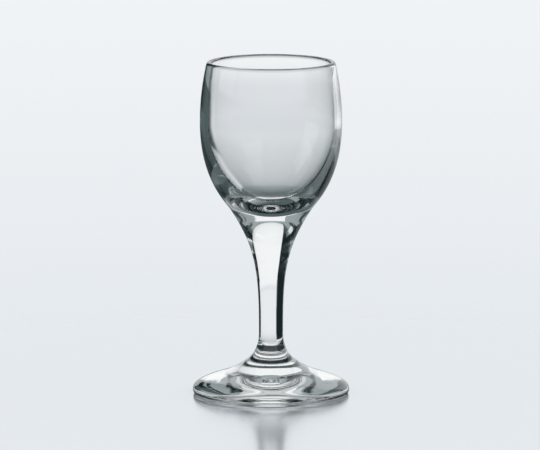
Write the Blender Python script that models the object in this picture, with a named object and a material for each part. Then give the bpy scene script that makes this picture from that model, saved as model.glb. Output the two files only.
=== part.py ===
"""Liqueur glass: a bowl, a stem and a foot of clear glass, welded together while hot.

Lengths are in metres and +Z is up. The origin is on the surface that the glass stands on, on its axis.
Each piece is turned from one outline, a list of (radius, height) points above the piece's own lower end.
"""
import math

import bmesh
import bpy
from mathutils import Vector

# Foot: a shallow cone with a rounded edge, dished underneath so that it stands on a flat ring
FOOT_RADIUS = 0.0225
FOOT_HEIGHT = 0.0124
FOOT_EDGE_ROUND = 0.00115
FOOT_CONE_RADIUS = 0.0145
FOOT_CONE_HEIGHT = 0.00587
FOOT_CONE_FALL = math.radians(16)
REST_RING_WIDTH = 0.0015
FOOT_DISH_DEPTH = 0.0030

# Weld between the foot and the stem: both sides share its radius and the lean of the outline there
FOOT_WELD_RADIUS = 0.0045
FOOT_WELD_LEAN = math.radians(22)

# Stem: solid, thinnest at its waist
STEM_LENGTH = 0.0342
WAIST_RADIUS = 0.00347
WAIST_RISE = 0.0053

# Weld between the stem and the bowl
BOWL_WELD_RADIUS = 0.008
BOWL_WELD_LEAN = math.radians(26.5)

# Bowl: outside, measured from the weld upward
BOWL_HEIGHT = 0.0488
RIM_RADIUS = 0.01855
RIM_LEAN = math.radians(12)
BELLY_RADIUS = 0.0204
BELLY_RISE = 0.0313
THROAT_RADIUS = 0.01174
THROAT_RISE = 0.0063
THROAT_LEAN = math.radians(34)

# Bowl: inside
RIM_WALL = 0.0015
BELLY_WALL = 0.0020
BASE_THICKNESS = 0.0068

# How full each stretch of an outline is: its pull at the first end and at the second end
INSTEP_PULLS = (0.26, 0.28)
SHOULDER_PULLS = (0.50, 0.22)
FLARE_PULLS = (0.32, 0.42)
ANKLE_PULLS = (0.55, 0.35)
HOLLOW_PULLS = (0.30, 0.44)
SIDE_PULLS = (0.35, 0.35)
CUP_PULLS = (0.62, 0.09)
TAIL_PULLS = (0.33, 0.33)

# The gap that separate solids keep where the hot glass would run together
WELD_GAP = 0.0003

# Facets, and the angle from which an edge is a corner
TURN_STEPS = 56
CURVE_STEPS = 7
ROUND_STEPS = 5
MERGE_DISTANCE = 0.000001
SHARP_ANGLE = math.radians(40)

GLASS_COLOUR = (0.90, 0.95, 0.94, 1.0)
GLASS_INDEX = 1.52


def heading(lean):
    """A direction that runs downward and leans outward from the vertical by an angle."""
    return Vector((math.sin(lean), -math.cos(lean)))


def curve(start, start_heading, end, end_heading, pulls):
    """Points of a cubic curve that leaves start and reaches end along the two headings.

    The pulls are shares of the straight distance between the ends. The end point is left out,
    because the next stretch of the outline begins with it.
    """
    start = Vector(start)
    end = Vector(end)
    reach = (end - start).length
    start_handle = start + start_heading * reach * pulls[0]
    end_handle = end - end_heading * reach * pulls[1]
    points = []
    for step in range(CURVE_STEPS):
        t = step / CURVE_STEPS
        s = 1 - t
        near_start = start * s ** 3 + start_handle * 3 * s * s * t
        near_end = end_handle * 3 * s * t * t + end * t ** 3
        points.append(near_start + near_end)
    return points


def round_off(centre, radius, start_angle, end_angle):
    """Points on an arc about a centre, both ends included. Angle 0 points outward, a quarter turn up."""
    points = []
    for step in range(ROUND_STEPS + 1):
        angle = start_angle + (end_angle - start_angle) * step / ROUND_STEPS
        points.append(Vector(centre) + Vector((math.cos(angle), math.sin(angle))) * radius)
    return points


def foot_outline():
    """From the weld face down the instep and the cone, round the edge and under to the dish."""
    weld_edge = (FOOT_WELD_RADIUS, FOOT_HEIGHT)
    cone = (FOOT_CONE_RADIUS, FOOT_CONE_HEIGHT)
    widest = (FOOT_RADIUS, FOOT_EDGE_ROUND)
    along_cone = heading(math.pi / 2 - FOOT_CONE_FALL)
    edge_centre = (FOOT_RADIUS - FOOT_EDGE_ROUND, FOOT_EDGE_ROUND)
    dish_radius = FOOT_RADIUS - FOOT_EDGE_ROUND - REST_RING_WIDTH
    points = [Vector((0, FOOT_HEIGHT))]
    points += curve(weld_edge, heading(FOOT_WELD_LEAN), cone, along_cone, INSTEP_PULLS)
    points += curve(cone, along_cone, widest, heading(0), SHOULDER_PULLS)
    points += round_off(edge_centre, FOOT_EDGE_ROUND, 0, -math.pi / 2)
    for step in range(CURVE_STEPS + 1):
        share = 1 - step / CURVE_STEPS
        points.append(Vector((dish_radius * share, FOOT_DISH_DEPTH * (1 - share * share))))
    return points


def stem_outline():
    """From the upper weld face down the flare to the waist, and out again to the lower weld face."""
    upper_edge = (BOWL_WELD_RADIUS, STEM_LENGTH)
    waist = (WAIST_RADIUS, WAIST_RISE)
    lower_edge = (FOOT_WELD_RADIUS, 0)
    points = [Vector((0, STEM_LENGTH))]
    points += curve(upper_edge, heading(-BOWL_WELD_LEAN), waist, heading(0), FLARE_PULLS)
    points += curve(waist, heading(0), lower_edge, heading(FOOT_WELD_LEAN), ANKLE_PULLS)
    points += [Vector(lower_edge), Vector((0, 0))]
    return points


def bowl_outline():
    """From the floor of the hollow up the inside, over the lip, down the outside to the weld face."""
    lip_round = RIM_WALL / 2
    lip_centre = Vector((RIM_RADIUS - lip_round, BOWL_HEIGHT - lip_round))
    rim_outward = Vector((math.cos(RIM_LEAN), math.sin(RIM_LEAN)))
    rim_inside = lip_centre - rim_outward * lip_round
    rim_outside = lip_centre + rim_outward * lip_round
    floor = (0, BASE_THICKNESS)
    belly_inside = (BELLY_RADIUS - BELLY_WALL, BELLY_RISE)
    belly = (BELLY_RADIUS, BELLY_RISE)
    throat = (THROAT_RADIUS, THROAT_RISE)
    weld_edge = (BOWL_WELD_RADIUS, 0)
    level = Vector((1, 0))
    points = curve(floor, level, belly_inside, heading(math.pi), HOLLOW_PULLS)
    points += curve(belly_inside, heading(math.pi), rim_inside, -heading(RIM_LEAN), SIDE_PULLS)
    points += round_off(lip_centre, lip_round, math.pi + RIM_LEAN, RIM_LEAN)
    points += curve(rim_outside, heading(RIM_LEAN), belly, heading(0), SIDE_PULLS)[1:]
    points += curve(belly, heading(0), throat, heading(-THROAT_LEAN), CUP_PULLS)
    points += curve(throat, heading(-THROAT_LEAN), weld_edge, heading(-BOWL_WELD_LEAN), TAIL_PULLS)
    points += [Vector(weld_edge), Vector((0, 0))]
    return points


def turned(name, outline, base_height, material, parent):
    """Turn an outline about the axis into one closed solid, standing at its height in the glass."""
    mesh = bpy.data.meshes.new(name)
    body = bmesh.new()
    ring = [body.verts.new((point.x, 0, point.y)) for point in outline]
    edges = [body.edges.new(pair) for pair in zip(ring, ring[1:])]
    bmesh.ops.spin(
        body, geom=ring + edges, cent=(0, 0, 0), axis=(0, 0, 1),
        angle=math.tau, steps=TURN_STEPS, use_merge=True,
    )
    bmesh.ops.remove_doubles(body, verts=body.verts, dist=MERGE_DISTANCE)
    bmesh.ops.recalc_face_normals(body, faces=body.faces)
    body.to_mesh(mesh)
    body.free()
    mesh.shade_smooth()
    mesh.set_sharp_from_angle(angle=SHARP_ANGLE)
    mesh.materials.append(material)
    piece = bpy.data.objects.new(name, mesh)
    piece.location.z = base_height
    piece.parent = parent
    bpy.context.scene.collection.objects.link(piece)
    return piece


def clear_glass(name):
    """Clear soda-lime glass with the faint green of its edge."""
    material = bpy.data.materials.new(name)
    material.use_nodes = True
    shader = material.node_tree.nodes["Principled BSDF"]
    shader.inputs["Base Color"].default_value = GLASS_COLOUR
    shader.inputs["Metallic"].default_value = 0.0
    shader.inputs["Roughness"].default_value = 0.0
    shader.inputs["IOR"].default_value = GLASS_INDEX
    shader.inputs["Transmission Weight"].default_value = 1.0
    return material


def main():
    for leftover in list(bpy.data.objects):
        bpy.data.objects.remove(leftover, do_unlink=True)
    glass = bpy.data.objects.new("liqueur_glass", None)
    bpy.context.scene.collection.objects.link(glass)
    stem_base = FOOT_HEIGHT + WELD_GAP
    bowl_base = stem_base + STEM_LENGTH + WELD_GAP
    turned("foot", foot_outline(), 0, clear_glass("foot_glass"), glass)
    turned("stem", stem_outline(), stem_base, clear_glass("stem_glass"), glass)
    turned("bowl", bowl_outline(), bowl_base, clear_glass("bowl_glass"), glass)


if __name__ == "__main__":
    main()
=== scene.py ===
# %% [markdown]
# A small liqueur glass
#
# The real glass is three gathers of clear glass, joined while they were hot: a bowl, a stem and a foot.
# The imported model gives their places and main sizes, in metres, and this file makes how they look.
# The size of each imported piece is printed first.

# %% Load the imported glass
import math

import bpy
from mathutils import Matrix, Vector


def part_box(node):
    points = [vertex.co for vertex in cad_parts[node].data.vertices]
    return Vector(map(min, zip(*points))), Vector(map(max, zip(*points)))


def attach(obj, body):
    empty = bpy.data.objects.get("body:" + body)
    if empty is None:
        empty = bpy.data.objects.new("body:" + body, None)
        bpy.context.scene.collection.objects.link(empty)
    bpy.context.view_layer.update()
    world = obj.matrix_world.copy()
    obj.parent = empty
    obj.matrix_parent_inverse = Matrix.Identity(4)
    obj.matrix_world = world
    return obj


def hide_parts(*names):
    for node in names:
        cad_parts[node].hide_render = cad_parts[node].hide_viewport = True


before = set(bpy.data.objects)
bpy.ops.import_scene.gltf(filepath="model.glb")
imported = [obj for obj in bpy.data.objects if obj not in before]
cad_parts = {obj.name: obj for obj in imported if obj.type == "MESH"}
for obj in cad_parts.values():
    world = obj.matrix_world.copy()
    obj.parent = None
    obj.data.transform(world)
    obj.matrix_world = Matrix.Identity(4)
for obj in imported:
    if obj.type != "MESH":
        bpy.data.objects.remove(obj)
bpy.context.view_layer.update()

MM = 0.001
scene = bpy.context.scene
scene.view_settings.view_transform = "Standard"
for node in sorted(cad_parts):
    low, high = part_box(node)
    print(f"{node}: {high.x / MM:.2f} mm in radius, from {low.z / MM:.2f} to {high.z / MM:.2f} mm high")

# %% [markdown]
# The view
#
# A long lens stands far off and a little above the rim, so the mouth and the foot show as flat ellipses
# of nearly the same shape. A camera can be placed by eye, but working the lens out is surer: the picture
# is 540 by 450 pixels, and the whole glass covers a known number of them. The shift puts the axis of the
# glass on its own column of pixels.

# %% Camera
IMAGE_WIDTH = 540
GLASS_PIXELS = 334.3
AXIS_PIXEL = 271
CAMERA_BACK = 2.25
CAMERA_HEIGHT = 0.371
AIM_HEIGHT = 0.0487
SENSOR_WIDTH = 36

glass_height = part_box("bowl")[1].z
camera_data = bpy.data.cameras.new("camera")
camera = bpy.data.objects.new("camera", camera_data)
scene.collection.objects.link(camera)
camera.location = (0, -CAMERA_BACK, CAMERA_HEIGHT)
sight = Vector((0, 0, AIM_HEIGHT)) - camera.location
camera.rotation_euler = sight.to_track_quat("-Z", "Y").to_euler()
picture_width = IMAGE_WIDTH * glass_height / GLASS_PIXELS
camera_data.sensor_width = SENSOR_WIDTH
camera_data.lens = SENSOR_WIDTH * sight.length / picture_width
camera_data.shift_x = (IMAGE_WIDTH / 2 - AXIS_PIXEL) / IMAGE_WIDTH
scene.camera = camera
print(f"lens {camera_data.lens:.0f} mm, {math.degrees(math.atan2(-sight.z, sight.y)):.1f} degrees down")

# %% [markdown]
# One outline
#
# Every piece is round, so half of its section says everything about it. The outlines are smooth curves
# through a few stations: the rim, the belly, the throat, the weld, the waist and the edge of the foot.
# They could be lists of measured points, but a list shows every small error of its points. A cubic curve
# with a heading at each end keeps the slope unbroken from one stretch to the next, which matters in clear
# glass, because each kink would show as a line of light.

# %% Curves of an outline
CURVE_STEPS = 36
ROUND_STEPS = 14


def heading(lean):
    """The direction that runs downward and leans outward by an angle in degrees."""
    return Vector((math.sin(math.radians(lean)), -math.cos(math.radians(lean))))


def stretch(start, start_heading, end, end_heading, pulls):
    """Points of a cubic from start towards end; the pulls are shares of the distance between them."""
    start, end = Vector(start), Vector(end)
    reach = (end - start).length
    first = start + start_heading * reach * pulls[0]
    second = end - end_heading * reach * pulls[1]
    points = []
    for step in range(CURVE_STEPS):
        t = step / CURVE_STEPS
        s = 1 - t
        points.append(start * s**3 + first * 3 * s * s * t + second * 3 * s * t * t + end * t**3)
    return points


def round_off(centre, radius, start_angle, end_angle):
    """Points on an arc, both ends included. Angle 0 points outward and 90 degrees up."""
    points = []
    for step in range(ROUND_STEPS + 1):
        angle = math.radians(start_angle + (end_angle - start_angle) * step / ROUND_STEPS)
        points.append(Vector(centre) + Vector((math.cos(angle), math.sin(angle))) * radius)
    return points


print(f"a stretch of outline has {CURVE_STEPS} points, and an arc {ROUND_STEPS + 1}")

# %% [markdown]
# The two welds
#
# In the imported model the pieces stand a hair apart, because solids that touch are hard to tell from one
# solid. In the real glass they have run together. The pieces could be joined into one mesh, but then they
# would no longer be pieces. Here each one reaches the middle of that gap, so neighbours share a flat
# round face, and the sides of the glass meet without a step.

# %% Heights of the welds
FOOT_WELD_RADIUS = 4.5 * MM
FOOT_WELD_LEAN = 22
BOWL_WELD_RADIUS = 8.0 * MM
BOWL_WELD_LEAN = 26.5


def middle_of_gap(lower_node, upper_node):
    """The height halfway between the top of one node and the bottom of the next."""
    return (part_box(lower_node)[1].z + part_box(upper_node)[0].z) / 2


foot_weld = middle_of_gap("foot", "stem")
bowl_weld = middle_of_gap("stem", "bowl")
print(f"welds at {foot_weld / MM:.2f} and {bowl_weld / MM:.2f} mm")

# %% [markdown]
# The bowl's outline
#
# The bowl is the cup. Its outline starts on the round floor of the hollow, climbs the inside, turns over
# the fire-polished lip and comes down the outside. One could draw the outside alone and thicken it with
# Solidify, but the bottom would then be as thin as the wall. The real bottom is thick and works as a
# lens, so both sides are drawn.

# %% Outline of the bowl
RIM_RADIUS = 18.55 * MM
RIM_LEAN = 12
RIM_WALL = 1.5 * MM
BELLY_RISE = 31.3 * MM
BELLY_WALL = 2.0 * MM
THROAT_RADIUS = 11.74 * MM
THROAT_RISE = 6.3 * MM
THROAT_LEAN = 34
BASE_THICKNESS = 6.8 * MM
HOLLOW_PULLS = (0.30, 0.44)
SIDE_PULLS = (0.35, 0.35)
CUP_PULLS = (0.62, 0.09)
TAIL_PULLS = (0.33, 0.33)


def bowl_outline():
    """From the floor of the hollow up the inside, over the lip and down the outside to the weld."""
    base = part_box("bowl")[0].z
    belly_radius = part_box("bowl")[1].x
    lip_round = RIM_WALL / 2
    lip_centre = Vector((RIM_RADIUS - lip_round, glass_height - lip_round))
    across = Vector((math.cos(math.radians(RIM_LEAN)), math.sin(math.radians(RIM_LEAN))))
    rim_inside = lip_centre - across * lip_round
    rim_outside = lip_centre + across * lip_round
    belly = Vector((belly_radius, base + BELLY_RISE))
    belly_inside = belly - Vector((BELLY_WALL, 0))
    throat = (THROAT_RADIUS, base + THROAT_RISE)
    weld_edge = (BOWL_WELD_RADIUS, bowl_weld)
    points = stretch((0, base + BASE_THICKNESS), heading(90), belly_inside, heading(180), HOLLOW_PULLS)
    points += stretch(belly_inside, heading(180), rim_inside, -heading(RIM_LEAN), SIDE_PULLS)
    points += round_off(lip_centre, lip_round, 180 + RIM_LEAN, RIM_LEAN)
    points += stretch(rim_outside, heading(RIM_LEAN), belly, heading(0), SIDE_PULLS)[1:]
    points += stretch(belly, heading(0), throat, heading(-THROAT_LEAN), CUP_PULLS)
    points += stretch(throat, heading(-THROAT_LEAN), weld_edge, heading(-BOWL_WELD_LEAN), TAIL_PULLS)
    return points + [Vector(weld_edge), Vector((0, bowl_weld))]


outlines = {"bowl": bowl_outline()}
print(f"bowl: {len(outlines['bowl'])} points in its outline")

# %% [markdown]
# The stem's outline
#
# The stem is a solid rod: wide under the bowl, thin at its waist and wider again on the foot. It could be
# a tapered cylinder, but its sides would be straight. Two curves that meet at the waist, both upright
# there, give the long flare of a stem that was drawn out while it was hot.

# %% Outline of the stem
WAIST_RADIUS = 3.47 * MM
WAIST_RISE = 5.3 * MM
FLARE_PULLS = (0.32, 0.42)
ANKLE_PULLS = (0.55, 0.35)


def stem_outline():
    """From the upper weld down the flare to the waist, and out again to the lower weld."""
    upper_edge = (BOWL_WELD_RADIUS, bowl_weld)
    waist = (WAIST_RADIUS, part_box("stem")[0].z + WAIST_RISE)
    lower_edge = (FOOT_WELD_RADIUS, foot_weld)
    points = [Vector((0, bowl_weld))]
    points += stretch(upper_edge, heading(-BOWL_WELD_LEAN), waist, heading(0), FLARE_PULLS)
    points += stretch(waist, heading(0), lower_edge, heading(FOOT_WELD_LEAN), ANKLE_PULLS)
    return points + [Vector(lower_edge), Vector((0, foot_weld))]


outlines["stem"] = stem_outline()
print(f"stem: {len(outlines['stem'])} points in its outline")

# %% [markdown]
# The foot's outline
#
# The foot is a shallow cone with a round edge. It is slightly hollow underneath, so that it stands on a
# narrow flat ring and doesn't rock. A flattened cone would do from far off, but the foot's rings of light
# come from its curves. So the upper side is two curves, the edge is an arc, and the hollow is a parabola.

# %% Outline of the foot
FOOT_EDGE_ROUND = 1.15 * MM
FOOT_CONE_RADIUS = 14.5 * MM
FOOT_CONE_HEIGHT = 5.87 * MM
FOOT_CONE_FALL = 16
REST_RING_WIDTH = 1.5 * MM
FOOT_DISH_DEPTH = 3.0 * MM
INSTEP_PULLS = (0.26, 0.28)
SHOULDER_PULLS = (0.50, 0.22)


def foot_outline():
    """From the weld down the instep and the cone, round the edge and under to the dish."""
    foot_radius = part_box("foot")[1].x
    weld_edge = (FOOT_WELD_RADIUS, foot_weld)
    cone = (FOOT_CONE_RADIUS, FOOT_CONE_HEIGHT)
    widest = (foot_radius, FOOT_EDGE_ROUND)
    along_cone = heading(90 - FOOT_CONE_FALL)
    edge_centre = (foot_radius - FOOT_EDGE_ROUND, FOOT_EDGE_ROUND)
    dish_radius = edge_centre[0] - REST_RING_WIDTH
    points = [Vector((0, foot_weld))]
    points += stretch(weld_edge, heading(FOOT_WELD_LEAN), cone, along_cone, INSTEP_PULLS)
    points += stretch(cone, along_cone, widest, heading(0), SHOULDER_PULLS)
    points += round_off(edge_centre, FOOT_EDGE_ROUND, 0, -90)
    for step in range(CURVE_STEPS + 1):
        share = 1 - step / CURVE_STEPS
        points.append(Vector((dish_radius * share, FOOT_DISH_DEPTH * (1 - share * share))))
    return points


outlines["foot"] = foot_outline()
print(f"foot: {len(outlines['foot'])} points in its outline")

# %% [markdown]
# Node trees in code
#
# The glass, the lathe and the studio are all node trees. They could be wired node by node, which takes
# many lines and hides what is worked out. These helpers add the nodes for one step and give back its
# result, so that it is handed to the next step as in ordinary code.

# %% Helpers for node trees


def add(tree, kind, **settings):
    """A node of a kind, with its properties set."""
    node = tree.nodes.new(kind)
    for name, value in settings.items():
        setattr(node, name, value)
    return node


def give(tree, value, socket):
    """Link a socket to an input, or set a plain value on the input."""
    if isinstance(value, bpy.types.NodeSocket):
        tree.links.new(value, socket)
    else:
        socket.default_value = value


def calculate(tree, operation, *values):
    """The result of a Math node on one or two inputs, each a socket or a number."""
    node = add(tree, "ShaderNodeMath", operation=operation)
    for value, socket in zip(values, node.inputs):
        give(tree, value, socket)
    return node.outputs[0]


def multiply(tree, product, *factors):
    """The product of sockets and numbers."""
    for factor in factors:
        product = calculate(tree, "MULTIPLY", product, factor)
    return product


def ramp(tree, value, start, end, first=0.0, second=1.0, kind="SMOOTHSTEP"):
    """A change from one number to another while a value goes from start to end, smooth or even."""
    node = add(tree, "ShaderNodeMapRange", interpolation_type=kind)
    give(tree, value, node.inputs["Value"])
    limits = {"From Min": start, "From Max": end, "To Min": first, "To Max": second}
    for name, limit in limits.items():
        node.inputs[name].default_value = limit
    return node.outputs[0]


def between(tree, value, low, high, soft):
    """A mask that is 1 between two numbers, with soft ends."""
    rise = ramp(tree, value, low - soft, low + soft)
    return multiply(tree, rise, ramp(tree, value, high - soft, high + soft, 1, 0))


def mix_colour(tree, factor, first, second):
    """A mix of two colours, each a socket or plain values."""
    node = add(tree, "ShaderNodeMix", data_type="RGBA")
    for value, socket in zip((factor, first, second), (node.inputs["Factor"], *node.inputs[6:8])):
        give(tree, value, socket)
    return node.outputs[2]


def split(tree, vector):
    """The X, Y and Z of a vector, by name."""
    node = add(tree, "ShaderNodeSeparateXYZ")
    tree.links.new(vector, node.inputs[0])
    return node.outputs


helpers = (add, give, calculate, multiply, ramp, between, mix_colour, split)
print("helpers:", ", ".join(helper.__name__ for helper in helpers))

# %% [markdown]
# The skin of blown glass
#
# Blown glass isn't quite even. Streaks of the melt give it a faint tint that varies, the polishing flame
# leaves some places smoother than others, and the mould leaves very shallow waves that bend what is seen
# through them. All three pieces have this, so it is one node group with a size and a height for the
# waves. The roughness stays tiny, because frosted glass would hide what is behind it.

# %% Group: skin of the glass
GLASS_CLEAR = (0.990, 0.998, 1, 1)
GLASS_GREEN = (0.984, 0.996, 0.998, 1)
STREAK_SIZE = 14 * MM
POLISH_ROUGHNESS = 0.003
WAVE_DETAIL = 1


def glass_skin_group():
    """What varies over blown glass: a faint tint, the polish and shallow waves as a height in metres."""
    group = bpy.data.node_groups.new("glass_skin", "ShaderNodeTree")
    for in_out, name, kind in (
        ("INPUT", "Wave Size", "NodeSocketFloat"),
        ("INPUT", "Wave Height", "NodeSocketFloat"),
        ("OUTPUT", "Tint", "NodeSocketColor"),
        ("OUTPUT", "Roughness", "NodeSocketFloat"),
        ("OUTPUT", "Height", "NodeSocketFloat"),
    ):
        group.interface.new_socket(name, in_out=in_out, socket_type=kind)
    given = add(group, "NodeGroupInput").outputs
    place = add(group, "ShaderNodeTexCoord").outputs["Object"]
    waves = add(group, "ShaderNodeTexNoise")
    waves.inputs["Detail"].default_value = WAVE_DETAIL
    streaks = add(group, "ShaderNodeTexNoise")
    streaks.inputs["Scale"].default_value = 1 / STREAK_SIZE
    for noise in (waves, streaks):
        group.links.new(place, noise.inputs["Vector"])
    group.links.new(calculate(group, "DIVIDE", 1, given["Wave Size"]), waves.inputs["Scale"])
    wave = waves.outputs["Fac"]
    results = {
        "Tint": mix_colour(group, streaks.outputs["Fac"], GLASS_CLEAR, GLASS_GREEN),
        "Roughness": multiply(group, wave, POLISH_ROUGHNESS),
        "Height": multiply(group, wave, given["Wave Height"]),
    }
    outputs = add(group, "NodeGroupOutput")
    for name, result in results.items():
        group.links.new(result, outputs.inputs[name])
    return group


glass_skin = glass_skin_group()
print("group:", glass_skin.name, "with", len(glass_skin.nodes), "nodes")

# %% [markdown]
# Clear glass, and the faces of the welds
#
# The glass is a Principled BSDF that transmits everything, with the index of soda-lime glass. A Glass
# BSDF would look the same here, but the Principled BSDF is what other programs can read. Where two pieces
# have run together nothing shows in the real glass. So the faces that they share get a fully transparent
# material: light crosses it without bending, and the pieces read as one glass.

# %% Materials of the glass
GLASS_INDEX = 1.52
BOWL_WAVES = (9 * MM, 0.004 * MM)
STEM_WAVES = (5 * MM, 0.003 * MM)
FOOT_WAVES = (4 * MM, 0.004 * MM)


def clear_glass(name, waves):
    """Clear glass whose surface has waves of a size and a height in metres."""
    material = bpy.data.materials.new(name)
    material.use_nodes = True
    tree = material.node_tree
    shader = tree.nodes["Principled BSDF"]
    shader.inputs["Metallic"].default_value = 0
    shader.inputs["IOR"].default_value = GLASS_INDEX
    shader.inputs["Transmission Weight"].default_value = 1
    skin = add(tree, "ShaderNodeGroup", node_tree=glass_skin)
    skin.inputs["Wave Size"].default_value, skin.inputs["Wave Height"].default_value = waves
    bump = add(tree, "ShaderNodeBump")
    bump.inputs["Distance"].default_value = 1
    tree.links.new(skin.outputs["Tint"], shader.inputs["Base Color"])
    tree.links.new(skin.outputs["Roughness"], shader.inputs["Roughness"])
    tree.links.new(skin.outputs["Height"], bump.inputs["Height"])
    tree.links.new(bump.outputs["Normal"], shader.inputs["Normal"])
    return material


def fused_joint():
    """The face where two pieces have run together. Light goes straight through, so it doesn't show."""
    material = bpy.data.materials.new("fused_joint")
    material.use_nodes = True
    material.node_tree.nodes["Principled BSDF"].inputs["Alpha"].default_value = 0
    return material


bowl_glass = clear_glass("bowl_glass", BOWL_WAVES)
stem_glass = clear_glass("stem_glass", STEM_WAVES)
foot_glass = clear_glass("foot_glass", FOOT_WAVES)
joint = fused_joint()
print("materials:", bowl_glass.name, stem_glass.name, foot_glass.name, joint.name)

# %% [markdown]
# Chill ripples
#
# When the hot foot is pressed, its skin cools first and shrinks into low arcs, a few hundredths of a
# millimetre high. They could be painted as bump, but in clear glass the light has to bend at a real
# surface, so they are geometry. Seeded noise gives their height. It is read by radius, with the place
# around the axis squeezed, so that the ripples run as arcs. They fade at the ankle, at the edge and on
# steep glass, and they are strongest on the left.

# %% Height of the ripples
RIPPLE_HEIGHT = 0.10 * MM
RIPPLE_SIZE = 2.6 * MM
RIPPLE_SEED = 4.0
RIPPLE_DETAIL = 1
RIPPLE_SQUEEZE = 0.3
NOISE_MIDDLE = 0.5
# X at which they are full and at which they are least, and the share that is left there
RIPPLE_LEFT = -8 * MM
RIPPLE_RIGHT = 4 * MM
RIPPLE_LEAST = 0.12
# Upward part of the normal, from no ripples to full ones
RIPPLE_STEEP = 0.3
RIPPLE_FLAT = 0.7
# Radii of the band that has them
RIPPLE_INNER = 9 * MM
RIPPLE_INNER_FULL = 12 * MM
RIPPLE_OUTER_FULL = 19.5 * MM
RIPPLE_OUTER = 21.5 * MM


def ripple_height(tree, given, outward):
    """Height of the chill ripples at each point, for a surface that faces outward."""
    place = split(tree, add(tree, "GeometryNodeInputPosition").outputs[0])
    x_squared = multiply(tree, place["X"], place["X"])
    y_squared = multiply(tree, place["Y"], place["Y"])
    radius = calculate(tree, "SQRT", calculate(tree, "ADD", x_squared, y_squared))
    arcs = add(tree, "ShaderNodeCombineXYZ")
    tree.links.new(radius, arcs.inputs["X"])
    tree.links.new(multiply(tree, place["X"], RIPPLE_SQUEEZE), arcs.inputs["Y"])
    tree.links.new(multiply(tree, place["Y"], RIPPLE_SQUEEZE), arcs.inputs["Z"])
    noise = add(tree, "ShaderNodeTexNoise", noise_dimensions="4D")
    noise.inputs["Detail"].default_value = RIPPLE_DETAIL
    tree.links.new(arcs.outputs[0], noise.inputs["Vector"])
    tree.links.new(given["Ripple Seed"], noise.inputs["W"])
    tree.links.new(calculate(tree, "DIVIDE", 1, given["Ripple Size"]), noise.inputs["Scale"])
    swing = calculate(tree, "SUBTRACT", noise.outputs[0], NOISE_MIDDLE)
    side = ramp(tree, place["X"], RIPPLE_LEFT, RIPPLE_RIGHT, 1, RIPPLE_LEAST)
    flat = ramp(tree, split(tree, outward)["Z"], RIPPLE_STEEP, RIPPLE_FLAT)
    past_ankle = ramp(tree, radius, RIPPLE_INNER, RIPPLE_INNER_FULL)
    short_of_edge = ramp(tree, radius, RIPPLE_OUTER_FULL, RIPPLE_OUTER, 1, 0)
    return multiply(tree, swing, flat, past_ankle, short_of_edge, side, given["Ripple Height"])


print(f"ripples: noise {RIPPLE_SIZE / MM:.1f} mm in size, out to a radius of {RIPPLE_OUTER / MM:.1f} mm")

# %% [markdown]
# Turning the outlines
#
# A lathe is a rule, so Geometry Nodes do it. The Screw modifier turns an outline too, but it can't mark
# the weld faces or raise the ripples on the way. A grid has one row of points for each point of the
# outline and one column for each step of the turn. Every grid point looks up its place in the outline and
# is carried round the axis by its column's angle.

# %% Lathe: a grid turned about the axis
STEPS_AROUND = 240


def shape_step(tree, shape, kind, **settings):
    """A node that takes a shape at its first input."""
    node = add(tree, kind, **settings)
    tree.links.new(shape, node.inputs[0])
    return node


def turned_grid(tree, given):
    """A grid whose rows are the points of the outline, each carried round the axis by its column."""
    size = shape_step(tree, given["Outline"], "GeometryNodeAttributeDomainSize")
    rows = size.outputs["Point Count"]
    grid = add(tree, "GeometryNodeMeshGrid")
    tree.links.new(calculate(tree, "ADD", given["Steps Around"], 1), grid.inputs["Vertices X"])
    tree.links.new(rows, grid.inputs["Vertices Y"])
    index = add(tree, "GeometryNodeInputIndex").outputs[0]
    row = calculate(tree, "MODULO", index, rows)
    column = calculate(tree, "FLOOR", calculate(tree, "DIVIDE", index, rows))
    angle = calculate(tree, "DIVIDE", multiply(tree, column, math.tau), given["Steps Around"])

    look_up = add(tree, "GeometryNodeSampleIndex", data_type="FLOAT_VECTOR", clamp=True)
    tree.links.new(given["Outline"], look_up.inputs["Geometry"])
    tree.links.new(add(tree, "GeometryNodeInputPosition").outputs[0], look_up.inputs["Value"])
    tree.links.new(row, look_up.inputs["Index"])
    station = split(tree, look_up.outputs[0])
    turned = add(tree, "ShaderNodeCombineXYZ")
    for axis, part in (("X", "COSINE"), ("Y", "SINE")):
        tree.links.new(multiply(tree, station["X"], calculate(tree, part, angle)), turned.inputs[axis])
    tree.links.new(station["Z"], turned.inputs["Z"])
    place = shape_step(tree, grid.outputs["Mesh"], "GeometryNodeSetPosition")
    tree.links.new(turned.outputs[0], place.inputs["Position"])
    return place.outputs[0]


print(f"lathe: {STEPS_AROUND} steps to a turn")

# %% [markdown]
# A closed skin
#
# The grid's first and last column lie on each other, and its first and last row each lie on one point of
# the axis, so merging by distance closes the seam and the poles. Smooth shading hides the facets. It
# could cover every edge, but then a line would show around the glass at a weld, so sharp bends stay
# corners. The ripples are lifted last, along the normals.

# %% Lathe: skin and ripples
MERGE_DISTANCE = 0.001 * MM
SHARP_ANGLE = math.radians(40)


def closed_skin(tree, shape):
    """Close the seam and the poles, turn the faces outward and keep only real corners sharp."""
    merge = shape_step(tree, shape, "GeometryNodeMergeByDistance")
    merge.inputs["Distance"].default_value = MERGE_DISTANCE
    flip = shape_step(tree, merge.outputs[0], "GeometryNodeFlipFaces")
    smooth = shape_step(tree, flip.outputs[0], "GeometryNodeSetShadeSmooth", domain="FACE")
    corners = shape_step(tree, smooth.outputs[0], "GeometryNodeSetShadeSmooth", domain="EDGE")
    corners.inputs["Shade Smooth"].default_value = False
    bend = add(tree, "GeometryNodeInputMeshEdgeAngle").outputs["Unsigned Angle"]
    tree.links.new(calculate(tree, "GREATER_THAN", bend, SHARP_ANGLE), corners.inputs["Selection"])
    return corners.outputs[0]


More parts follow.
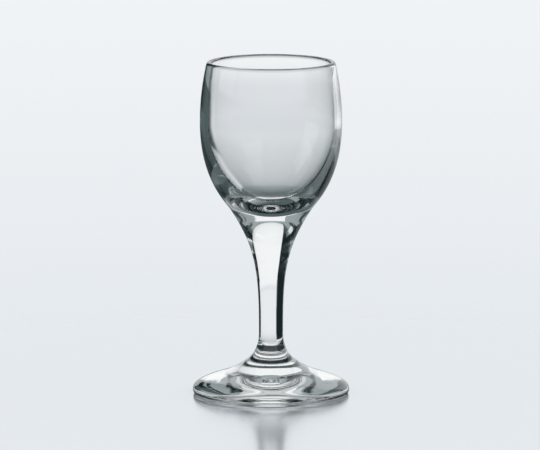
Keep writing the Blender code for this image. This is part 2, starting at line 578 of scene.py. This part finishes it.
def rippled(tree, shape, given):
    """Lift the skin along its normals by the height of the ripples."""
    outward = add(tree, "GeometryNodeInputNormal").outputs[0]
    lift = add(tree, "ShaderNodeVectorMath", operation="SCALE")
    tree.links.new(outward, lift.inputs[0])
    tree.links.new(ripple_height(tree, given, outward), lift.inputs["Scale"])
    ripple = shape_step(tree, shape, "GeometryNodeSetPosition")
    tree.links.new(lift.outputs[0], ripple.inputs["Offset"])
    return ripple.outputs[0]


print(f"corners: edges that bend more than {math.degrees(SHARP_ANGLE):.0f} degrees")

# %% [markdown]
# Glass and weld faces
#
# The last step gives the piece its materials. The weld faces could be picked by hand in Edit Mode, but
# they follow a rule: a face at the height of a weld is one. So the tree compares heights, and the same
# lathe serves the bowl with one weld, the foot with one and the stem with two.

# %% Lathe: materials and the whole tree
JOINT_TOLERANCE = 0.005 * MM


def finished(tree, shape, given):
    """Glass all over, and the joint material on the faces at the height of a weld."""
    height = split(tree, add(tree, "GeometryNodeInputPosition").outputs[0])["Z"]
    at_weld = []
    for weld in (given["Lower Joint"], given["Upper Joint"]):
        away = calculate(tree, "ABSOLUTE", calculate(tree, "SUBTRACT", height, weld))
        at_weld.append(calculate(tree, "LESS_THAN", away, JOINT_TOLERANCE))
    real = shape_step(tree, shape, "GeometryNodeRealizeInstances")
    skin = shape_step(tree, real.outputs[0], "GeometryNodeSetMaterial")
    tree.links.new(given["Glass"], skin.inputs["Material"])
    faces = shape_step(tree, skin.outputs[0], "GeometryNodeSetMaterial")
    tree.links.new(calculate(tree, "MAXIMUM", *at_weld), faces.inputs["Selection"])
    tree.links.new(given["Joint"], faces.inputs["Material"])
    return faces.outputs[0]


def turned_glass_tree():
    """A lathe that turns a chain of points into a closed piece of glass, with its weld faces marked."""
    tree = bpy.data.node_groups.new("turned_glass", "GeometryNodeTree")
    for name, kind in (
        ("Outline", "NodeSocketGeometry"),
        ("Steps Around", "NodeSocketInt"),
        ("Lower Joint", "NodeSocketFloat"),
        ("Upper Joint", "NodeSocketFloat"),
        ("Ripple Height", "NodeSocketFloat"),
        ("Ripple Size", "NodeSocketFloat"),
        ("Ripple Seed", "NodeSocketFloat"),
        ("Glass", "NodeSocketMaterial"),
        ("Joint", "NodeSocketMaterial"),
    ):
        tree.interface.new_socket(name, in_out="INPUT", socket_type=kind)
    tree.interface.new_socket("Glass Piece", in_out="OUTPUT", socket_type="NodeSocketGeometry")
    given = add(tree, "NodeGroupInput").outputs
    skin = closed_skin(tree, turned_grid(tree, given))
    piece = finished(tree, rippled(tree, skin, given), given)
    tree.links.new(piece, add(tree, "NodeGroupOutput").inputs[0])
    return tree


turned_glass = turned_glass_tree()
print("node tree:", turned_glass.name, "with", len(turned_glass.nodes), "nodes")

# %% [markdown]
# The pieces
#
# Each piece starts as its outline, a chain of points, and the lathe tree turns it. The modifier could
# stay on the piece, but a plain mesh is easier to hand on, so the result is copied into one. The piece
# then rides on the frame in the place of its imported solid.

# %% Turn the bowl, the stem and the foot
NO_JOINT = -1.0


def set_inputs(modifier, values):
    """Set a modifier's inputs by the identifiers of the tree's sockets."""
    for item in modifier.node_group.interface.items_tree:
        if item.item_type == "SOCKET" and item.in_out == "INPUT" and item.name in values:
            modifier[item.identifier] = values[item.name]


def turned_piece(name, outline, values):
    """A plain mesh object, made by the lathe tree from an outline."""
    chain = bpy.data.meshes.new(name)
    edges = [(k, k + 1) for k in range(len(outline) - 1)]
    chain.from_pydata([(point.x, 0, point.y) for point in outline], edges, [])
    piece = bpy.data.objects.new(name, chain)
    scene.collection.objects.link(piece)
    modifier = piece.modifiers.new("lathe", "NODES")
    modifier.node_group = turned_glass
    set_inputs(modifier, values)
    depsgraph = bpy.context.evaluated_depsgraph_get()
    mesh = bpy.data.meshes.new_from_object(piece.evaluated_get(depsgraph))
    piece.modifiers.remove(modifier)
    piece.data = mesh
    mesh.name = name
    empty_slots = [slot for slot, material in enumerate(mesh.materials) if material is None]
    for slot in reversed(empty_slots):
        mesh.materials.pop(index=slot)
    bpy.data.meshes.remove(chain)
    return piece


plans = {
    "bowl": {"Glass": bowl_glass, "Lower Joint": bowl_weld, "Upper Joint": NO_JOINT},
    "stem": {"Glass": stem_glass, "Lower Joint": foot_weld, "Upper Joint": bowl_weld},
    "foot": {"Glass": foot_glass, "Lower Joint": NO_JOINT, "Upper Joint": foot_weld},
}
for node, plan in plans.items():
    plan.update({"Steps Around": STEPS_AROUND, "Joint": joint})
    plan.update({"Ripple Size": RIPPLE_SIZE, "Ripple Seed": RIPPLE_SEED})
    plan["Ripple Height"] = RIPPLE_HEIGHT if node == "foot" else 0.0
    piece = turned_piece(f"glass_{node}", outlines[node], plan)
    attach(piece, "root")
    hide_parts(node)
    used = [material.name for material in piece.data.materials]
    joint_faces = sum(face.material_index == used.index(joint.name) for face in piece.data.polygons)
    print(f"{piece.name}: {len(piece.data.polygons)} faces, {joint_faces} of them in joints, {used}")

# %% [markdown]
# The studio
#
# Clear glass has no colour of its own to show, so its look is what stands around it. Lamps would only
# give it small hard sparks. A photographer lights glass with large surfaces instead: a bright panel
# behind it, which shines through the stem and the bowl, and dark cards beside the panel, which draw the
# edges. The surfaces here glow evenly, and a strength of 1 is white.
#
# Light can go straight through the glass, or be mirrored inside it several times first. The Light Path
# node tells the two apart, so each surface can have a level for either. These levels were matched to the
# photograph. They belong to this studio and not to the glass, which looks paler in a plain room.

# %% Helpers for the studio
# A count of at least n is tested as more than n less this margin
COUNT_MARGIN = 0.5
# Bearings are in degrees around the axis, 0 straight back and 90 to the right. A zone's ends are this soft
ZONE_SOFT = 3


def mix_shader(tree, factor, first, second):
    """A mix of two shaders."""
    node = add(tree, "ShaderNodeMixShader")
    for value, socket in zip((factor, first, second), node.inputs):
        tree.links.new(value, socket)
    return node.outputs[0]


def bearing_of(tree, place):
    """The bearing of a place or a direction."""
    return calculate(tree, "DEGREES", calculate(tree, "ARCTAN2", place["X"], place["Y"]))


def bounced(tree, path, times=1):
    """1 for light that was mirrored at least so many times on its way, and 0 for other light."""
    mirrored = calculate(tree, "SUBTRACT", path["Ray Depth"], path["Transmission Depth"])
    return calculate(tree, "GREATER_THAN", mirrored, times - COUNT_MARGIN)


def stage_material(name):
    """A material with an empty tree, for a surface of the studio."""
    material = bpy.data.materials.new(name)
    material.use_nodes = True
    material.node_tree.nodes.clear()
    material.cycles.emission_sampling = "NONE"
    return material


def glow(tree, colour):
    """A shader that gives light of a colour, evenly."""
    node = add(tree, "ShaderNodeEmission")
    tree.links.new(colour, node.inputs["Color"])
    return node.outputs[0]


def stage_mesh(name, points, faces, material):
    """A stage object from points and faces."""
    mesh = bpy.data.meshes.new(name)
    mesh.from_pydata(points, [], faces)
    mesh.materials.append(material)
    card = bpy.data.objects.new(name, mesh)
    scene.collection.objects.link(card)
    return card


helpers = (mix_shader, bearing_of, bounced, stage_material, glow, stage_mesh)
print("helpers:", ", ".join(helper.__name__ for helper in helpers))

# %% [markdown]
# The board
#
# The glass stands on a pale, smooth board. Seen along its surface it mirrors what stands on it, and seen
# from above it doesn't, so the stem shows as a soft streak below the foot. A Principled BSDF mirrors like
# this too, but here the mirror also has to fade away from the glass, to leave an even background. So a
# Diffuse and a Glossy shader are mixed, by Layer Weight and by distance.

# %% Floor: the board
FLOOR_SIZE = 12.0
# The board is painted darker near the glass and paler out to FLOOR_FADE: a painted fall-off of light
FLOOR_NEAR = (0.80, 0.835, 0.87, 1)
FLOOR_FAR = (0.87, 0.90, 0.925, 1)
FLOOR_FADE = 1.1
MIRROR_COLOUR = (0.81, 0.838, 0.866, 1)
MIRROR_ROUGHNESS = 0.15
MIRROR_STRENGTH = 0.85
# Facing is 0 where the floor is seen from straight above, and 1 where it is seen along its surface
MIRROR_STEEP = 0.60
MIRROR_FLAT = 0.86
# Distances from the axis
MIRROR_FULL = 0.08
MIRROR_GONE = 0.38


def board(tree, floor, pale):
    """A pale board that mirrors where it is seen flat, close to the glass."""
    matt = add(tree, "ShaderNodeBsdfDiffuse")
    tree.links.new(pale, matt.inputs["Color"])
    polish = add(tree, "ShaderNodeBsdfGlossy")
    polish.inputs["Color"].default_value = MIRROR_COLOUR
    polish.inputs["Roughness"].default_value = MIRROR_ROUGHNESS
    gloss = ramp(tree, floor["facing"], MIRROR_STEEP, MIRROR_FLAT, 0, MIRROR_STRENGTH)
    gloss = multiply(tree, gloss, ramp(tree, floor["away"], MIRROR_FULL, MIRROR_GONE, 1, 0))
    return mix_shader(tree, gloss, matt.outputs[0], polish.outputs[0])


print(f"board: mirrors up to {MIRROR_GONE} m from the glass")

# %% [markdown]
# The floor seen straight through the glass
#
# Glass bends the view, so the stem and the foot show parts of the floor far from them: the board in front
# of the bright panel, and beside it dark places, as if it mirrored the cards. A mirroring floor could show
# these, but then also in the plain background. So the floor glows for rays from the glass only: a painted
# reflection of the panel, painted reflections of the cards and painted shade, in zones set by bearing, by
# distance and by how flat the floor is seen. Most of the dark in the wall of the bowl and in its thick
# base comes from this painted shade and these painted reflections.

# %% Floor: light straight through the glass
# The panels' white, and the floor's painted glow: the dark of its painted card reflections and shade, and
# its painted sheen seen flat and seen steeply
PANEL_LEVEL = (0.97, 0.98, 0.99, 1)
SIDE_DARK = (0.010, 0.018, 0.020, 1)
SHEEN_FLAT = (0.88, 0.90, 0.93, 1)
SHEEN_STEEP = (0.085, 0.115, 0.12, 1)
# Bearings of the bright panel behind the glass
BACK_LEFT = -18
BACK_RIGHT = 47
# Facing over which the painted reflection of the panel goes from painted shade, seen steeply, to bright
SHEEN_START = 0.25
SHEEN_FULL = 0.85
# A band of slightly darker painted shade across it, between two distances, and the distance at which
# the painted reflection reaches the panel's full level
SHEEN_BAND = (0.82, 0.84, 0.87, 1)
BAND_NEAR = 0.42
BAND_FAR = 0.56
BAND_SOFT = 0.06
SHEEN_FAR = 0.80
# A strip of painted shade beside the bright zone, close to the glass: its bearings and its distances
CLOSE_LEFT = -54
CLOSE_RIGHT = 60
CLOSE_NEAR = 0.05
CLOSE_FAR = 0.20
CLOSE_SOFT = 0.012
# It begins a little further off where the floor isn't seen steeply
CLOSE_START = 0.08
CLOSE_FULL = 0.095
CLOSE_STEEP = 0.48
CLOSE_FLAT = 0.54
# One wall of glass is two surfaces to go through
ONE_WALL = 2
# The painted reflections of the dark cards: their outer bearings, and the facing from which they show
SIDE_LEFT = -78
SIDE_RIGHT = 82
SIDE_STEEP = 0.63
SIDE_FLAT = 0.69


def painted_light_straight(tree, floor, path, pale):
    """Painted glow through the glass: the panel's painted reflection, and painted shade beside it."""
    away, bearing, facing = floor["away"], floor["bearing"], floor["facing"]
    behind = between(tree, bearing, BACK_LEFT, BACK_RIGHT, ZONE_SOFT)
    band = between(tree, away, BAND_NEAR, BAND_FAR, BAND_SOFT)
    bright = mix_colour(tree, band, SHEEN_FLAT, SHEEN_BAND)
    bright = mix_colour(tree, ramp(tree, away, BAND_FAR, SHEEN_FAR), bright, PANEL_LEVEL)
    colour = mix_colour(tree, behind, pale, bright)
    steep = multiply(tree, behind, ramp(tree, facing, SHEEN_START, SHEEN_FULL, 1, 0, "LINEAR"))
    colour = mix_colour(tree, steep, colour, SHEEN_STEEP)

    beside = between(tree, bearing, CLOSE_LEFT, CLOSE_RIGHT, ZONE_SOFT)
    beside = calculate(tree, "SUBTRACT", beside, multiply(tree, beside, behind))
    started = ramp(tree, away, CLOSE_START, CLOSE_FULL)
    started = calculate(tree, "MAXIMUM", started, ramp(tree, facing, CLOSE_STEEP, CLOSE_FLAT, 1, 0))
    strip = between(tree, away, CLOSE_NEAR, CLOSE_FAR, CLOSE_SOFT)
    one_wall = calculate(tree, "LESS_THAN", path["Transmission Depth"], ONE_WALL + COUNT_MARGIN)
    colour = mix_colour(tree, multiply(tree, beside, strip, started, one_wall), colour, SHEEN_STEEP)

    left = between(tree, bearing, SIDE_LEFT, BACK_LEFT, ZONE_SOFT)
    right = between(tree, bearing, BACK_RIGHT, SIDE_RIGHT, ZONE_SOFT)
    sides = calculate(tree, "MAXIMUM", left, right)
    sides = multiply(tree, sides, ramp(tree, facing, SIDE_STEEP, SIDE_FLAT))
    return mix_colour(tree, sides, colour, SIDE_DARK)


print(f"floor: bright from {BACK_LEFT} to {BACK_RIGHT} degrees")

# %% [markdown]
# The floor mirrored inside the glass
#
# Much of what the foot and the thick base show has been mirrored inside them first. With the same floor
# for all light they come out brighter than in the photograph, so light that was mirrored inside finds
# painted shade on the floor. Under the foot little light gets in, so the floor there has a painted shadow,
# apart from a painted ring of light in front of the axis and behind it. One plain floor would be simpler,
# but less like the photograph.

# %% Floor: light mirrored inside the glass, and light under the foot
# Bearings of the painted grey shade on the floor, and of the part of it painted as lit by the panel
INNER = 48
LIT_LEFT = 8
# Distances over which that part comes to its full painted light, and the share that it has before them
LIT_NEAR = 0.40
LIT_FAR = 0.47
LIT_LEAST = 0.4
# The distance at which the foot's own floor ends and the open floor begins
UNDER_FOOT = 0.024
OPEN_FLOOR = 0.034
# The painted ring of light under the foot, with painted shadow around it: its inner radius, and how far
# to either side it shows
RING_LIGHT = (0.95, 0.95, 0.94, 1)
RING_NEAR = 10 * MM
RING_FAR = 16 * MM
RING_MIDDLE = 7 * MM
RING_SIDE = 15 * MM
# Its painted light after some bounces inside the glass, and after many
RING_GREY = (0.62, 0.64, 0.64, 1)
RING_BOUNCES = 3
RING_DIM = (0.08, 0.11, 0.115, 1)
RING_MANY = 6


def painted_light_mirrored(tree, floor, inside, straight):
    """Painted glow after mirroring inside the glass: painted shade, and painted light in one part."""
    lit = between(tree, floor["bearing"], LIT_LEFT, BACK_RIGHT, ZONE_SOFT)
    lit = multiply(tree, lit, ramp(tree, floor["away"], LIT_NEAR, LIT_FAR, LIT_LEAST, 1))
    grey = between(tree, floor["bearing"], -INNER, INNER, ZONE_SOFT)
    unlit = mix_colour(tree, grey, SIDE_DARK, SHEEN_STEEP)
    return mix_colour(tree, inside, straight, mix_colour(tree, lit, unlit, straight))


def ring_under_foot(tree, floor, path, inside):
    """Under the foot: a painted ring of light before and behind the axis, painted shadow elsewhere."""
    ring = mix_colour(tree, bounced(tree, path, RING_BOUNCES), SIDE_DARK, RING_GREY)
    ring = mix_colour(tree, bounced(tree, path, RING_MANY), ring, RING_DIM)
    clear = calculate(tree, "SUBTRACT", 1, inside)
    clear = multiply(tree, clear, ramp(tree, floor["away"], RING_NEAR, RING_FAR))
    ring = mix_colour(tree, clear, ring, RING_LIGHT)
    middle = ramp(tree, floor["aside"], RING_MIDDLE, RING_SIDE, 1, 0)
    return mix_colour(tree, middle, SIDE_DARK, ring)


print(f"ring under the foot: from {RING_NEAR / MM:.0f} mm outward")

# %% [markdown]
# The finished floor
#
# The parts are put together in one material. The camera sees the plain board with the shadow of the
# glass on it. Rays that come from the glass, or from a mirror, see the floor's painted light and shade
# instead. Two floors could do this, one hidden from the camera, but one material keeps both in the same
# place.

# %% Floor: finish and mesh


def floor_places(tree):
    """Where a point of the floor lies, and how flat it is seen."""
    place = add(tree, "ShaderNodeTexCoord").outputs["Object"]
    length = add(tree, "ShaderNodeVectorMath", operation="LENGTH")
    tree.links.new(place, length.inputs[0])
    parts = split(tree, place)
    return {
        "away": length.outputs["Value"],
        "aside": calculate(tree, "ABSOLUTE", parts["X"]),
        "bearing": bearing_of(tree, parts),
        "facing": add(tree, "ShaderNodeLayerWeight").outputs["Facing"],
    }


def floor_finish():
    """A pale board for the camera, and painted light and shade for rays that come from the glass."""
    material = stage_material("floor_board")
    tree = material.node_tree
    floor = floor_places(tree)
    path = add(tree, "ShaderNodeLightPath").outputs
    # The board's painted fall-off of light: darker near the glass, paler far off
    pale = mix_colour(tree, ramp(tree, floor["away"], 0, FLOOR_FADE), FLOOR_NEAR, FLOOR_FAR)
    inside = bounced(tree, path)
    straight = painted_light_straight(tree, floor, path, pale)
    open_floor = painted_light_mirrored(tree, floor, inside, straight)
    ring = ring_under_foot(tree, floor, path, inside)
    past_foot = ramp(tree, floor["away"], UNDER_FOOT, OPEN_FLOOR)
    painted_glow = glow(tree, mix_colour(tree, past_foot, ring, open_floor))
    by_glass = calculate(tree, "MAXIMUM", path["Is Transmission Ray"], path["Is Glossy Ray"])
    result = mix_shader(tree, by_glass, board(tree, floor, pale), painted_glow)
    tree.links.new(result, add(tree, "ShaderNodeOutputMaterial").inputs["Surface"])
    return material


half = FLOOR_SIZE / 2
floor_corners = [(-half, -half, 0), (half, -half, 0), (half, half, 0), (-half, half, 0)]
stage_mesh("floor", floor_corners, [(0, 1, 2, 3)], floor_finish())
print("floor:", FLOOR_SIZE, "m wide")

# %% [markdown]
# Levels of light
#
# The bright panels and the dark cards have a plain level of light, as lit cloth has. In what is mirrored
# inside the glass, though, the whole panel would show again and again, and the glass would look busy and
# too bright. There the panels are toned down and the cards glow a painted grey, between two bearings and
# below a height. In the board's blurred mirror every screen glows the panels' white, painted light that
# keeps the dark cards out of that mirror.

# %% Light of the panels and cards
SIDE_GREY = (0.33, 0.37, 0.38, 1)
FRONT_GREY = (0.15, 0.18, 0.185, 1)
PANEL_HEIGHT = 1.5
# Bearings and height within which light mirrored inside the glass finds another level
PANEL_ZONE = (24, 90)
LEFT_ZONE = (-180, 0)
FRONT_ZONE = (0, 180)
INNER_CARD = 54
FRONT_RISE = 0.62
TOP_SOFT = 0.1


def two_levels(name, straight, inside, zone, times=1, top=PANEL_HEIGHT):
    """A glow with one level straight through the glass, and another in what is mirrored inside it.

    The second holds for light mirrored at least so many times, in a zone of bearings, below a height.
    """
    material = stage_material(name)
    tree = material.node_tree
    place = split(tree, add(tree, "ShaderNodeTexCoord").outputs["Object"])
    path = add(tree, "ShaderNodeLightPath").outputs
    in_zone = between(tree, bearing_of(tree, place), *zone, ZONE_SOFT)
    low = ramp(tree, place["Z"], top, top + TOP_SOFT, 1, 0)
    here = multiply(tree, path["Is Transmission Ray"], bounced(tree, path, times), in_zone, low)
    colour = mix_colour(tree, here, straight, inside)
    # Painted light: in the board's blurred mirror every screen glows the panels' white
    sharp = calculate(tree, "MAXIMUM", path["Is Transmission Ray"], path["Is Singular Ray"])
    light = glow(tree, mix_colour(tree, sharp, PANEL_LEVEL, colour))
    tree.links.new(light, add(tree, "ShaderNodeOutputMaterial").inputs["Surface"])
    return material


panel_light = two_levels("panel_light", PANEL_LEVEL, SIDE_GREY, PANEL_ZONE)
fill_light = two_levels("fill_light", PANEL_LEVEL, SIDE_DARK, LEFT_ZONE, times=2)
front_light = two_levels("front_light", PANEL_LEVEL, FRONT_GREY, FRONT_ZONE, top=FRONT_RISE)
dark_cloth = two_levels("dark_cloth", SIDE_DARK, SIDE_GREY, (-INNER_CARD, INNER_CARD))
print("lights:", panel_light.name, fill_light.name, front_light.name, dark_cloth.name)

# %% [markdown]
# The screens
#
# The bright panel stands behind the glass and widens to the left towards its top. Two narrower panels, at
# the left and in front on the right, show in the edges of the glass. Dark cards stand close to the glass,
# on both sides of the view of the back panel. Flat boards would do, but all of these are curved screens
# about the axis, so that a bearing says where each begins and ends. The camera doesn't see them, and they
# cast no shadow.

# %% Bright panels and dark cards
# Distances and heights are in metres, and left and right ends are bearings
PANEL_AWAY = 1.5
PANEL_WIDENS = 20
BACK_PANEL = (BACK_LEFT, 44)
LEFT_PANEL = (-112, -76)
FRONT_PANEL = (112, 160)
CARD_AWAY = 0.23
CARD_BOTTOM = 0.06
CARD_TOP = 0.35
LEFT_CARD = (-75, -20)
RIGHT_CARD = (BACK_RIGHT, 80)
ARC_STEP = 4


def screen(name, distance, bottom, top, ends, material, widens=0):
    """A curved upright screen between two bearings. Its left end can go further left at the top."""
    left, right = ends
    count = round((right - left) / ARC_STEP)
    points = []
    for height, shift in ((bottom, 0), (top, widens)):
        for step in range(count + 1):
            share = step / count
            bearing = math.radians(left + (right - left) * share - shift * (1 - share))
            points.append((distance * math.sin(bearing), distance * math.cos(bearing), height))
    faces = [(k, k + 1, k + count + 2, k + count + 1) for k in range(count)]
    card = stage_mesh(name, points, faces, material)
    card.visible_camera = False
    card.visible_diffuse = False
    card.visible_shadow = False
    print(f"{name}: from {left} to {right} degrees")
    return card


screen("panel_back", PANEL_AWAY, 0, PANEL_HEIGHT, BACK_PANEL, panel_light, PANEL_WIDENS)
side_panels = (("panel_left", LEFT_PANEL, fill_light), ("panel_front", FRONT_PANEL, front_light))
for name, ends, light in side_panels:
    screen(name, PANEL_AWAY, 0, PANEL_HEIGHT, ends, light).visible_glossy = False
for name, ends in (("card_left", LEFT_CARD), ("card_right", RIGHT_CARD)):
    screen(name, CARD_AWAY, CARD_BOTTOM, CARD_TOP, ends, dark_cloth)

# %% [markdown]
# The room
#
# Everything further off is the world. The floor gets even white light from it, which makes the soft
# shadow, and the camera sees the pale colour of the far floor, so no horizon shows. Rays from the glass
# find a dim room with a grey ceiling, and grey around the cards if they were mirrored inside the glass.
# What the outside of the glass mirrors once, off the room in front, is bright, as a soft light beside the
# camera would be. A picture of a room could stand in for all this, but a few ramps are enough.

# %% World
ROOM_DARK = (0.010, 0.017, 0.019, 1)
ROOM_CEILING = (0.33, 0.38, 0.39, 1)
ROOM_SOFT = (1, 1, 1, 1)
# Directions are parts of a unit vector. Upward part over which the ceiling begins
CEILING_START = 0.35
CEILING_FULL = 0.80
# Upward part over which the pale haze ends that the board's soft mirror shows
HAZE_FULL = 0.30
HAZE_GONE = 0.45
# The light in front: its part towards the camera, and its upward part
FRONT_START = 0.3
FRONT_FULL = 0.6
FRONT_LOW = 0.02
FRONT_HIGH = 0.12
# Upward part over which the grey ends that light mirrored inside the glass finds around the cards
AROUND_FULL = 0.28
AROUND_GONE = 0.36
# In the world, Ray Depth counts one step more than on a surface
SKY_STEP = 1


def light_in_front(tree, direction, path):
    """A mask for light that was mirrored once, on the outside of the glass, from the room in front."""
    once = bounced(tree, path, 1 + SKY_STEP)
    once = calculate(tree, "SUBTRACT", once, bounced(tree, path, 2 + SKY_STEP))
    outside = calculate(tree, "LESS_THAN", path["Transmission Depth"], COUNT_MARGIN)
    in_front = ramp(tree, direction["Y"], -FRONT_FULL, -FRONT_START, 1, 0)
    above = ramp(tree, direction["Z"], FRONT_LOW, FRONT_HIGH)
    return multiply(tree, in_front, above, once, outside)


def grey_around_cards(tree, direction, path):
    """A mask for light that was mirrored inside the glass and comes from behind, low down."""
    behind = between(tree, bearing_of(tree, direction), -INNER_CARD, INNER_CARD, ZONE_SOFT)
    low = ramp(tree, direction["Z"], AROUND_FULL, AROUND_GONE, 1, 0)
    return multiply(tree, behind, low, path["Is Transmission Ray"], bounced(tree, path, 1 + SKY_STEP))


def soft_mirror(tree, direction, path):
    """A mask for low light in a blurred mirror, which is what the polished board is."""
    blurred = calculate(tree, "SUBTRACT", path["Is Glossy Ray"], path["Is Transmission Ray"])
    blurred = calculate(tree, "SUBTRACT", blurred, path["Is Singular Ray"])
    low = ramp(tree, direction["Z"], HAZE_FULL, HAZE_GONE, 1, 0)
    return calculate(tree, "MAXIMUM", multiply(tree, blurred, low), 0)


def studio_world():
    """Pale where the camera looks, white on the floor, and dim for what the glass mirrors and bends."""
    world = bpy.data.worlds.new("studio")
    world.use_nodes = True
    tree = world.node_tree
    tree.nodes.clear()
    path = add(tree, "ShaderNodeLightPath").outputs
    direction = split(tree, add(tree, "ShaderNodeTexCoord").outputs["Generated"])
    ceiling = ramp(tree, direction["Z"], CEILING_START, CEILING_FULL)
    after_floor = calculate(tree, "GREATER_THAN", path["Diffuse Depth"], COUNT_MARGIN)
    colour = mix_colour(tree, ceiling, ROOM_DARK, ROOM_CEILING)
    for mask, level in (
        (soft_mirror(tree, direction, path), PANEL_LEVEL),
        (light_in_front(tree, direction, path), PANEL_LEVEL),
        (grey_around_cards(tree, direction, path), SIDE_GREY),
        (after_floor, ROOM_SOFT),
        (path["Is Diffuse Ray"], ROOM_SOFT),
        (path["Is Camera Ray"], FLOOR_FAR),
    ):
        colour = mix_colour(tree, mask, colour, level)
    sky = add(tree, "ShaderNodeBackground")
    tree.links.new(colour, sky.inputs["Color"])
    tree.links.new(sky.outputs[0], add(tree, "ShaderNodeOutputWorld").inputs["Surface"])
    return world


scene.world = studio_world()
scene.world.cycles.sampling_method = "NONE"
print("world:", scene.world.name, "with", len(scene.world.node_tree.nodes), "nodes")

# %% [markdown]
# Bounces
#
# In thick clear glass, light is mirrored many times before it comes out again. Blender's usual limits
# render faster, but they cut such light off and leave black patches in the base and the foot. So the
# limits go up.

# %% Bounce counts
BOUNCES = 24

for limit in ("max_bounces", "transmission_bounces", "glossy_bounces", "transparent_max_bounces"):
    setattr(scene.cycles, limit, BOUNCES)
print("bounces:", BOUNCES)
